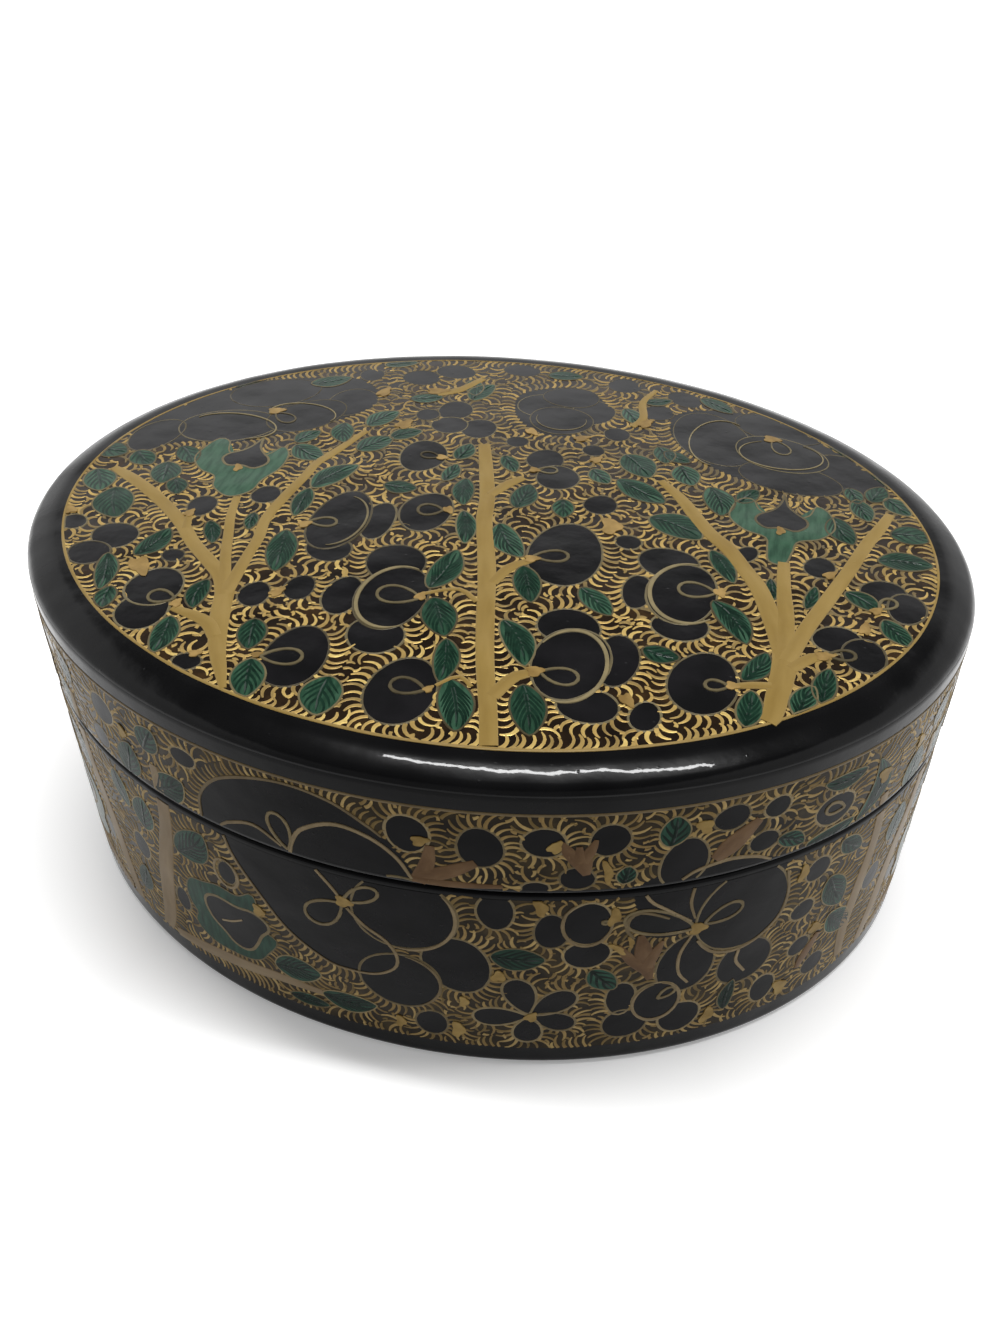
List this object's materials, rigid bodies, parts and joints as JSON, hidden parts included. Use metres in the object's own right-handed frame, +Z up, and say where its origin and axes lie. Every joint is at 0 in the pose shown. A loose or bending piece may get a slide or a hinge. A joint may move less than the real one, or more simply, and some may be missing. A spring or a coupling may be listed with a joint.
{
  "type": "lidded trinket box",
  "caption": "Oval lidded box of lacquered layered paper; the lid lifts straight off a raised inner lip.",
  "frame": {"origin": "centre of the underside, on the plane the box stands on", "axes": "+X along the long axis of the oval, +Y along the short axis, away from the front, +Z up, the way the lid lifts"},
  "size_m": [0.127, 0.1016, 0.0513],
  "materials": {
    "black_lacquer": "black lacquer over gesso on layered paper, varnished to a gloss",
    "inner_lacquer": "black lacquer brushed on, satin",
    "gold_paint": "brushed gold pigment under varnish",
    "green_paint": "brushed green pigment under varnish"
  },
  "bodies": {
    "base": {"base_board": "black_lacquer", "base_hoop": "black_lacquer", "liner": "inner_lacquer"},
    "lid": {"lid_hoop": "black_lacquer", "lid_board": "black_lacquer"}
  },
  "joints": [
    {"name": "lid_lift", "type": "slide", "parent": "base", "child": "lid", "axis": [0, 0, 1], "range_m": [0, 0.06]}
  ]
}
